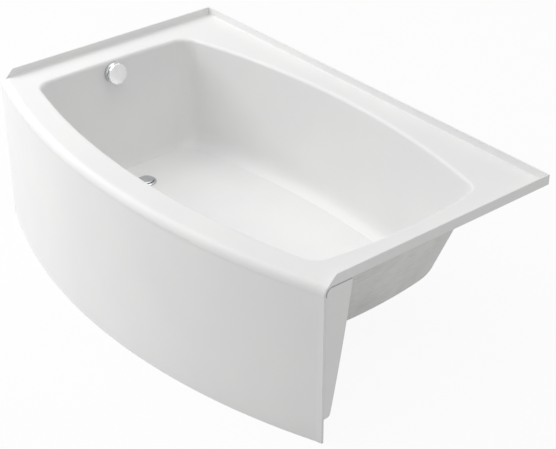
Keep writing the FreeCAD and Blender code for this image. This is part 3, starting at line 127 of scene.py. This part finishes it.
def rolled_laminate():
    """Chopped glass strand sprayed on with resin and rolled down: pale,
    half gloss, with crossing strands some 25 mm long under the surface."""
    material, tree, place = new_finish("rolled_chopped_strand_laminate")
    stretch = (1.0, 0.15, 0.6)
    strand_share, patch_share = 0.5, 0.5
    strands = None
    # strands are drawn some 6 mm wide and 40 mm long, coarser than real, so
    # that they show, in three lays that cross
    for turn in (0.3, 1.4, 2.4):
        lay = add(
            tree,
            "ShaderNodeMapping",
            {"Rotation": (turn, turn / 2, turn), "Scale": stretch},
            {"Vector": place},
        )
        layer = add(
            tree, "ShaderNodeTexNoise", {"Scale": 1 / (6 * MM), "Detail": 2.0}, {"Vector": lay}
        )
        if strands is None:
            strands = layer
        else:
            strands = add(tree, "ShaderNodeMath", None, {0: strands, 1: layer}, operation="MAXIMUM")
    patches = add(tree, "ShaderNodeTexNoise", {"Scale": 1 / (90 * MM), "Detail": 4.0}, {"Vector": place})
    drawn = add(tree, "ShaderNodeMath", {1: strand_share}, {0: strands}, operation="MULTIPLY")
    total = add(
        tree, "ShaderNodeMath", {1: patch_share}, {0: patches, 2: drawn}, operation="MULTIPLY_ADD"
    )
    colour = add(
        tree,
        "ShaderNodeValToRGB",
        None,
        {"Fac": total},
        [(0.4, "#dddedb"), (0.55, "#eaeae8"), (0.68, "#f2f2f0")],
    )
    rough = add(tree, "ShaderNodeMapRange", {"To Min": 0.38, "To Max": 0.6}, {"Value": strands})
    close_finish(tree, colour, rough, strands.outputs["Value"], 2 * MM, 0.35 * MM, IOR=1.53)
    return material


def sawn_wood(name, light, dark, ring_mm, ply_mm=0.0):
    """Sawn wood with the grain along the bath: growth bands, fibres and a
    rough face.  Where ply_mm is given, the upright faces show the plies."""
    along_grain = (0.06, 1.0, 1.0)
    band_share, fibre_share, end_grain_drop = 0.7, 0.3, -0.22
    material, tree, place = new_finish(name)
    lay = add(tree, "ShaderNodeMapping", {"Scale": along_grain}, {"Vector": place})
    bands = add(
        tree, "ShaderNodeTexNoise", {"Scale": 1 / (ring_mm * MM), "Detail": 3.0}, {"Vector": lay}
    )
    # fibres are drawn 1.2 mm wide so that they show
    fibres = add(tree, "ShaderNodeTexNoise", {"Scale": 1 / (1.2 * MM), "Detail": 2.0}, {"Vector": lay})
    grain = add(tree, "ShaderNodeMath", {1: band_share}, {0: bands}, operation="MULTIPLY")
    value = add(
        tree, "ShaderNodeMath", {1: fibre_share}, {0: fibres, 2: grain}, operation="MULTIPLY_ADD"
    )
    if ply_mm:
        # every second ply shows end grain, which is darker
        height = add(tree, "ShaderNodeSeparateXYZ", None, {"Vector": place})
        plies_per_metre = 1 / (2 * ply_mm * MM)
        turns = add(
            tree, "ShaderNodeMath", {1: plies_per_metre}, {0: height.outputs["Z"]}, operation="MULTIPLY"
        )
        phase = add(tree, "ShaderNodeMath", None, {0: turns}, operation="FRACT")
        end_grain = add(tree, "ShaderNodeMath", {1: 0.5}, {0: phase}, operation="GREATER_THAN")
        facing = add(tree, "ShaderNodeNewGeometry")
        up = add(tree, "ShaderNodeSeparateXYZ", None, {"Vector": facing.outputs["True Normal"]})
        flat = add(tree, "ShaderNodeMath", None, {0: up.outputs["Z"]}, operation="ABSOLUTE")
        edge = add(tree, "ShaderNodeMath", {0: 1.0}, {1: flat}, operation="SUBTRACT")
        shade = add(tree, "ShaderNodeMath", None, {0: end_grain, 1: edge}, operation="MULTIPLY")
        value = add(
            tree, "ShaderNodeMath", {1: end_grain_drop}, {0: shade, 2: value}, operation="MULTIPLY_ADD"
        )
    colour = add(tree, "ShaderNodeValToRGB", None, {"Fac": value}, [(0.25, dark), (0.7, light)])
    rough = add(tree, "ShaderNodeMapRange", {"To Min": 0.55, "To Max": 0.8}, {"Value": fibres})
    close_finish(tree, colour, rough, fibres.outputs["Fac"], 0.8 * MM, 0.15 * MM, IOR=1.5)
    return material


def moulded_rubber(name, code, dusty):
    """Moulded rubber: matt and finely grained, with dust in patches."""
    material, tree, place = new_finish(name)
    dust = add(tree, "ShaderNodeTexNoise", {"Scale": 1 / (8 * MM), "Detail": 4.0}, {"Vector": place})
    colour = add(tree, "ShaderNodeValToRGB", None, {"Fac": dust}, [(0.4, code), (0.75, dusty)])
    rough = add(tree, "ShaderNodeMapRange", {"To Min": 0.6, "To Max": 0.85}, {"Value": dust})
    grain = add(tree, "ShaderNodeTexNoise", {"Scale": 1 / (1.2 * MM), "Detail": 2.0}, {"Vector": place})
    close_finish(tree, colour, rough, grain.outputs["Fac"], 0.5 * MM, 0.05 * MM, IOR=1.52)
    return material


def chrome_plate(name, light, dark, rough_from, rough_to):
    """Chromium over nickel on buffed brass: a cool mirror, hazed in patches."""
    material, tree, place = new_finish(name)
    haze = add(tree, "ShaderNodeTexNoise", {"Scale": 1 / (12 * MM), "Detail": 4.0}, {"Vector": place})
    colour = add(
        tree, "ShaderNodeValToRGB", None, {"Fac": haze}, [(0.3, dark), (0.7, light)]
    )
    rough = add(
        tree, "ShaderNodeMapRange", {"To Min": rough_from, "To Max": rough_to}, {"Value": haze}
    )
    # buffing leaves gentle waves some 5 mm long
    buff = add(tree, "ShaderNodeTexNoise", {"Scale": 1 / (5 * MM), "Detail": 1.0}, {"Vector": place})
    close_finish(
        tree, colour, rough, buff.outputs["Fac"], 0.5 * MM, 0.006 * MM, Metallic=1.0
    )
    return material


def worked_metal(name, light, dark, rough_from, rough_to, mark_mm, depth_mm, lay=(1.0, 1.0, 1.0)):
    """Bare metal: tarnish in patches, and tool marks or the grains of a
    casting skin, drawn out along lay."""
    material, tree, place = new_finish(name)
    tarnish = add(
        tree, "ShaderNodeTexNoise", {"Scale": 1 / (20 * MM), "Detail": 4.0}, {"Vector": place}
    )
    along = add(tree, "ShaderNodeMapping", {"Scale": lay}, {"Vector": place})
    marks = add(
        tree, "ShaderNodeTexNoise", {"Scale": 1 / (mark_mm * MM), "Detail": 3.0}, {"Vector": along}
    )
    colour = add(tree, "ShaderNodeValToRGB", None, {"Fac": tarnish}, [(0.3, dark), (0.7, light)])
    rough = add(
        tree, "ShaderNodeMapRange", {"To Min": rough_from, "To Max": rough_to}, {"Value": marks}
    )
    close_finish(
        tree, colour, rough, marks.outputs["Fac"], 0.6 * MM, depth_mm * MM, Metallic=1.0
    )
    return material


MATERIALS = {
    "white_acrylic": white_cast_acrylic(),
    "glass_fibre": rolled_laminate(),
    # spruce-faced plywood in 3 mm plies
    "plywood": sawn_wood("spruce_plywood", "#dcc193", "#b68f5a", 20, 3.0),
    # sawn softwood, growth bands about 12 mm apart on the face
    "timber": sawn_wood("sawn_softwood", "#dcc090", "#ba935c", 12),
    "black_rubber": moulded_rubber("moulded_black_rubber", "#1b1b1c", "#2e2e2f"),
    "grey_rubber": moulded_rubber("moulded_grey_rubber", "#5d5e60", "#6f7072"),
    # polished chrome is set a little darker: painted shade for the darker surroundings the drain mirrors
    "polished_chrome": chrome_plate("polished_chrome_plate", "#d6d8da", "#c6c9cb", 0.1, 0.2),
    # turned stainless steel, bright with fine tool marks
    "stainless_steel": worked_metal("turned_stainless_steel", "#c4c5c7", "#aaacaf", 0.22, 0.36, 0.6, 0.01),
    # sand-cast brass under its grainy skin, grains about 1.4 mm
    "cast_brass": worked_metal("sand_cast_brass", "#c5a35d", "#a98446", 0.34, 0.52, 1.4, 0.12),
    # drawn brass: die lines run up the pipe and the rod, which stand upright
    "drawn_brass": worked_metal(
        "drawn_brass_tube", "#d4b36c", "#bb9651", 0.2, 0.32, 0.9, 0.015, (1.0, 1.0, 0.05)
    ),
}
# the dial's chrome is painted near white, a painted reflection of the bright basin it faces; the drain keeps the
# darker polished chrome, darkened as painted shade for the darker surroundings it mirrors
CHROME_PAINTED_REFLECTION = chrome_plate("chrome_with_painted_reflection", "#fafafa", "#f2f3f4", 0.05, 0.1)
SLOTS = {part["node"]: part["material_slot"] for part in frame["record"]["subparts"]}
for node_name, node_object in NODES.items():
    node_object.data.materials.clear()
    node_object.data.materials.append(MATERIALS[SLOTS[node_name]])


# -------------------------------------------------------- numpy surfaces ---
def bend(centre, radius, start, end, steps=8):
    """Profile points (radius, height) on an arc between two angles in degrees."""
    turn = np.radians(np.linspace(start, end, steps + 1))
    return np.stack([centre[0] + radius * np.cos(turn), centre[1] + radius * np.sin(turn)], 1)


def profile(*stretches):
    """Joins arcs and single points into one run of (radius, height) rows."""
    return np.vstack([np.atleast_2d(np.asarray(part, float)) for part in stretches])


def turned(radius, height, turn, origin, axis, across):
    """Grid of points round an axis, rows down the profile, columns round.

    A point is origin + height * axis + radius * (cos turn * across
    + sin turn * third), third being square to both; radius and height are
    in millimetres, one number per row or one per row and column.
    """
    axis, across = np.asarray(axis, float), np.asarray(across, float)
    radius, height, turn = np.broadcast_arrays(radius, height, turn[None, :])
    ring = np.cos(turn)[..., None] * across + np.sin(turn)[..., None] * np.cross(axis, across)
    return np.asarray(origin, float) + (height[..., None] * axis + radius[..., None] * ring) * MM


def full_turn(columns):
    """Angles in equal steps once round, without the last one, which closes it."""
    return np.linspace(0.0, 2 * math.pi, columns, endpoint=False)


def skin(name, grids, body, slot, loop, stands_for=None, sharp=35.0, finish=None):
    """One mesh over grids of points whose columns close round.

    With loop the rows close too, as on a ring; otherwise the first and last
    rows are poles.  Doubles are merged and the faces turned outwards.  The
    piece takes its slot's material, or finish where that is given.
    """
    # points closer than this, in metres, are one
    touching = 1e-7
    points, faces, start = [], [], 0
    for grid in grids:
        rows, columns = grid.shape[:2]
        row = np.arange(rows if loop else rows - 1)[:, None]
        column = np.arange(columns)[None, :]
        below, beside = (row + 1) % rows, (column + 1) % columns
        corners = [(row, column), (row, beside), (below, beside), (below, column)]
        quads = np.stack([a * columns + b for a, b in corners], -1).reshape(-1, 4)
        points.append(grid.reshape(-1, 3))
        faces.append(quads + start)
        start += rows * columns
    mesh = bpy.data.meshes.new(name)
    mesh.from_pydata(np.vstack(points).tolist(), [], np.vstack(faces).tolist())
    work = bmesh.new()
    work.from_mesh(mesh)
    bmesh.ops.remove_doubles(work, verts=work.verts, dist=touching)
    bmesh.ops.recalc_face_normals(work, faces=work.faces)
    work.to_mesh(mesh)
    work.free()
    mesh.shade_smooth()
    mesh.set_sharp_from_angle(angle=math.radians(sharp))
    mesh.materials.append(finish or MATERIALS[slot])
    item = bpy.data.objects.new(name, mesh)
    bpy.context.scene.collection.objects.link(item)
    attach(item, body)
    if stands_for:
        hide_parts(stands_for)
    return item


def polygon_reach(turn, sides, clip, crispness=300):
    """Radius of a regular polygon of corner radius 1, its corners clipped.

    The side is cos(pi/n) / cos(angle from its middle), and clip is a circle's
    radius.  A soft minimum rounds where they meet: both are raised to a
    negative power, added and taken back to a radius.
    """
    half = math.pi / sides
    side = math.cos(half) / np.cos((turn % (2 * half)) - half)
    return (side**-crispness + clip**-crispness) ** (-1 / crispness)


# ------------------------------------------------------------ the pieces ---
ALONG_BATH = (1.0, 0.0, 0.0)
ACROSS_BATH = (0.0, 1.0, 0.0)
UP = (0.0, 0.0, 1.0)
DOWN = (0.0, 0.0, -1.0)


def box_centre(node):
    """Middle of a solid's box at rest."""
    low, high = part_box(node)
    return (low + high) / 2


def dial_knob():
    """Ten-sided dial: lightly clipped corners, rolled edges, a slight crown.

    Heights are millimetres out from the basin's wall.  The profile goes from
    the crown, a parabola, over the rolled rim and round the back to the hub
    and up its blind bore.  The crown's and the rim's rows follow the
    polygon, and the hub's stay round.
    """
    joint = JOINTS["dial_turn"]
    low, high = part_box("overflow_dial")
    corner = (high.y - low.y) / 2 / MM
    back, front = 19.0, 31.0
    hub, hub_low, hub_fillet, hub_chamfer = 9.0, 14.5, 1.0, 0.4
    bore, bore_end = 4.15, 28.0
    roll, heel, rise = 1.3, 1.2, 1.7
    sides, clip, columns, crown_rows = 10, 0.998, 360, 14
    rim = profile(
        bend((corner - roll, front - roll - rise), roll, 82, 0),
        bend((corner - heel, back + heel), heel, 0, -90, 5),
    )
    edge, edge_height = rim[0]
    reach = np.linspace(0.0, edge, crown_rows)
    crown = np.stack([reach, edge_height + (front - edge_height) * (1 - (reach / edge) ** 2)], 1)
    tail = profile(
        bend((hub + hub_fillet, back - hub_fillet), hub_fillet, 90, 180, 4),
        (hub, hub_low + hub_chamfer),
        (hub - hub_chamfer, hub_low),
        (bore, hub_low),
        (bore, bore_end),
        (0.0, bore_end),
    )
    rows = profile(crown[:-1], rim, tail)
    turn = full_turn(columns)
    faceted = np.ones((len(rows), 1))
    faceted[-len(tail) :] = 0.0
    shape = 1 + faceted * (polygon_reach(turn[None, :], sides, clip) - 1)
    out = -np.array(joint["axis"])
    grid = turned(rows[:, :1] * shape, rows[:, 1:], turn, joint["pos_m"], out, ACROSS_BATH)
    return skin(
        "dial_knob", [grid], "dial", "polished_chrome", False, "overflow_dial", finish=CHROME_PAINTED_REFLECTION
    )


def stopper_cap():
    """Crowned stopper on its round-nosed stem.

    The crown is a superellipse over a rolled lip, with n for its fullness:
    height = brim + (top - brim) * (1 - (radius / reach)^n)^(1 / n).  The stem
    ends in a half round.
    """
    low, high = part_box("drain_stopper")
    centre = box_centre("drain_stopper")
    reach = (high.x - low.x) / 2 / MM
    top, foot = high.z / MM, low.z / MM
    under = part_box("stopper_seal")[1].z / MM
    stem, lip, fillet, fullness = 3.95, 1.2, 1.5, 2.4
    columns, crown_rows = 120, 24
    brim = under + 2 * lip
    span = np.sin(np.linspace(0.0, math.pi / 2, crown_rows)) * reach
    crown = brim + (top - brim) * (1 - (span / reach) ** fullness) ** (1 / fullness)
    rows = profile(
        np.stack([span, crown], 1),
        bend((reach - lip, under + lip), lip, 0, -90, 6),
        (stem + fillet, under),
        bend((stem + fillet, under - fillet), fillet, 90, 180, 4),
        (stem, foot + stem),
        bend((0.0, foot + stem), stem, 0, -90, 8),
    )
    origin = (centre.x, centre.y, 0.0)
    grid = turned(rows[:, :1], rows[:, 1:], full_turn(columns), origin, UP, ACROSS_BATH)
    return skin("stopper_cap", [grid], "stopper", "polished_chrome", False, "drain_stopper")


def slip_joints():
    """Where each slip joint's socket ends: place, way out, pipe radius in mm."""
    pipe = box_centre("overflow_pipe")
    pipe_low, pipe_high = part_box("overflow_pipe")
    tee_high, elbow_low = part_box("waste_tee")[1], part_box("overflow_elbow")[0]
    waste_z = JOINTS["rocker_tilt"]["pos_m"][2]
    riser = (pipe_high.x - pipe_low.x) / 2 / MM
    waste = 38.1 / 2
    return [
        ((pipe.x, pipe.y, tee_high.z), UP, riser),
        ((tee_high.x, pipe.y, waste_z), ALONG_BATH, waste),
        ((pipe.x, pipe.y, elbow_low.z), DOWN, riser),
    ]


def slip_nuts():
    """Hexagon nuts with turned chamfers, as the real ones are finished.

    The outside is the lower of the hexagon, flat / cos(angle from a flat's
    middle), and a cone at 30 degrees to each end face, which leaves the
    curved edges of a turned nut.  Heights are from the socket's end.
    """
    flat, face_edge, skirt, clear = 27.0, 26.4, 23.15, 0.3
    open_end, lip, top = -11.0, 4.0, 7.0
    chamfer_reach, chamfer_rows, columns = 3.2, 9, 192
    steep = math.tan(math.radians(60))
    turn = full_turn(columns)
    ends = np.linspace(0.0, chamfer_reach, chamfer_rows)
    heights = np.concatenate([open_end + ends, top - ends[::-1]])
    hexagon = flat / np.cos((turn % (math.pi / 3)) - math.pi / 6)
    from_end = np.minimum(heights - open_end, top - heights)
    cone = face_edge + from_end * steep
    outside = np.minimum(hexagon[None, :], cone[:, None])
    grids = []
    for origin, axis, pipe in slip_joints():
        hole = pipe + clear
        inside = np.array([(hole, top), (hole, lip), (skirt, lip), (skirt, open_end)])
        radius = np.vstack([outside, np.broadcast_to(inside[:, :1], (len(inside), columns))])
        height = np.concatenate([heights, inside[:, 1]])[:, None]
        grids.append(turned(radius, height, turn, origin, axis, ACROSS_BATH))
    return skin("turned_slip_nuts", grids, "tub", "cast_brass", True, "slip_nuts")


def socket_threads():
    """The few threads that show below each slip nut.

    Outside radius = base + depth * fade * saw(height / pitch - turn / 2 pi),
    where saw climbs to 1 and falls back to 0 once a turn: a helix whose fade
    falls to nothing at the last turn.  Heights are from the socket's end.
    """
    pitch, depth, base, core = 2.0, 1.0, 22.9, 22.3
    nut_end, length = -11.2, 5.0
    columns, thread_rows = 128, 31
    turn = full_turn(columns)
    heights = np.linspace(nut_end - length, nut_end, thread_rows)
    climb = heights[:, None] / pitch - turn[None, :] / (2 * math.pi)
    saw = 1 - np.abs(2 * (climb % 1.0) - 1)
    fade = np.clip((heights - heights[0]) / pitch, 0.0, 1.0)[:, None]
    ridge = base + depth * fade * saw
    inner = np.full((1, columns), core)
    radius = np.vstack([inner, ridge, inner])
    height = np.concatenate([heights[:1], heights, heights[-1:]])[:, None]
    grids = [
        turned(radius, height, turn, origin, axis, ACROSS_BATH) for origin, axis, _pipe in slip_joints()
    ]
    return skin("socket_threads", grids, "tub", "cast_brass", True, sharp=60.0)


dial_knob()
stopper_cap()
slip_nuts()
socket_threads()


# ---------------------------------------------------------- light, floor ---
def white_seen(tree, share=1.0):
    """1 (or share) for rays that come from the eye, a mirror or glass."""
    rays = add(tree, "ShaderNodeLightPath").outputs
    seen = add(
        tree,
        "ShaderNodeMath",
        None,
        {0: rays["Is Camera Ray"], 1: rays["Is Glossy Ray"]},
        operation="MAXIMUM",
    )
    seen = add(tree, "ShaderNodeMath", None, {0: seen, 1: rays["Is Transmission Ray"]}, operation="MAXIMUM")
    return add(tree, "ShaderNodeMath", {1: share}, {0: seen}, operation="MULTIPLY")


def make_world(fill):
    """Even pale surroundings; white behind the object and in its mirrors."""
    world = bpy.data.worlds.new("studio")
    bpy.context.scene.world = world
    world.use_nodes = True
    tree = world.node_tree
    tree.nodes.clear()
    around = add(tree, "ShaderNodeBackground", {"Color": (1, 1, 1, 1), "Strength": fill})
    white = add(tree, "ShaderNodeBackground", {"Color": (1, 1, 1, 1), "Strength": 1.0})
    mix = add(tree, "ShaderNodeMixShader", None, {0: white_seen(tree), 1: around, 2: white})
    add(tree, "ShaderNodeOutputWorld", None, {"Surface": mix})


def make_floor(size, share):
    """Wide white studio floor: share of it is seen white, the rest is paint
    that keeps a pale shadow."""
    corners = [(-size, -size, 0), (size, -size, 0), (size, size, 0), (-size, size, 0)]
    mesh = bpy.data.meshes.new("studio_floor")
    mesh.from_pydata(corners, [], [(0, 1, 2, 3)])
    floor = bpy.data.objects.new("studio_floor", mesh)
    bpy.context.scene.collection.objects.link(floor)
    material = bpy.data.materials.new("white_painted_floor")
    material.use_nodes = True
    tree = material.node_tree
    tree.nodes.clear()
    paint = add(tree, "ShaderNodeBsdfDiffuse", {"Color": linear("#e6e6e6")})
    white = add(tree, "ShaderNodeEmission", {"Color": (1, 1, 1, 1), "Strength": 1.0})
    seen = white_seen(tree, share)
    mix = add(tree, "ShaderNodeMixShader", None, {0: seen, 1: paint, 2: white})
    add(tree, "ShaderNodeOutputMaterial", None, {"Surface": mix})
    mesh.materials.append(material)


def make_sun(name, towards, strength, softness):
    """A soft distant lamp that shines along the direction given; softness is
    its width in degrees."""
    lamp = bpy.data.lights.new(name, "SUN")
    lamp.energy = strength
    lamp.angle = math.radians(softness)
    item = bpy.data.objects.new(name, lamp)
    item.rotation_euler = Vector(towards).to_track_quat("-Z", "Y").to_euler()
    bpy.context.scene.collection.objects.link(item)


def make_panel(name, place, aim, size, power):
    """A square soft panel lamp, size metres wide, at a place, facing aim."""
    lamp = bpy.data.lights.new(name, "AREA")
    lamp.size = size
    lamp.energy = power
    item = bpy.data.objects.new(name, lamp)
    item.location = place
    item.rotation_euler = (Vector(aim) - Vector(place)).to_track_quat("-Z", "Y").to_euler()
    bpy.context.scene.collection.objects.link(item)


def make_camera():
    """Camera solved from the photograph: the bath's corners and curves."""
    photo_width = 556.0
    focal_pixels = 1455.6
    eye = (2.9467, -2.2911, 2.4385)
    yaw, pitch = 0.8778, 0.5440
    sensor = 36.0
    data = bpy.data.cameras.new("photo_camera")
    data.sensor_fit = "HORIZONTAL"
    data.sensor_width = sensor
    data.lens = focal_pixels / photo_width * sensor
    item = bpy.data.objects.new("photo_camera", data)
    item.location = eye
    item.rotation_euler = (math.pi / 2 - pitch, 0.0, yaw)
    bpy.context.scene.collection.objects.link(item)
    bpy.context.scene.camera = item


make_world(fill=0.435)
make_floor(size=30.0, share=0.93)
make_sun("ceiling_light", DOWN, strength=0.83, softness=60.0)
make_panel("high_window", (-2.5, -1.1, 2.55), (0.0, 0.2, 0.2), size=2.2, power=47.0)
make_panel("low_window", (-1.5, -2.3, 0.9), (0.0, 0.0, 0.3), size=1.6, power=9.4)
make_camera()
bpy.context.scene.view_settings.view_transform = "Standard"
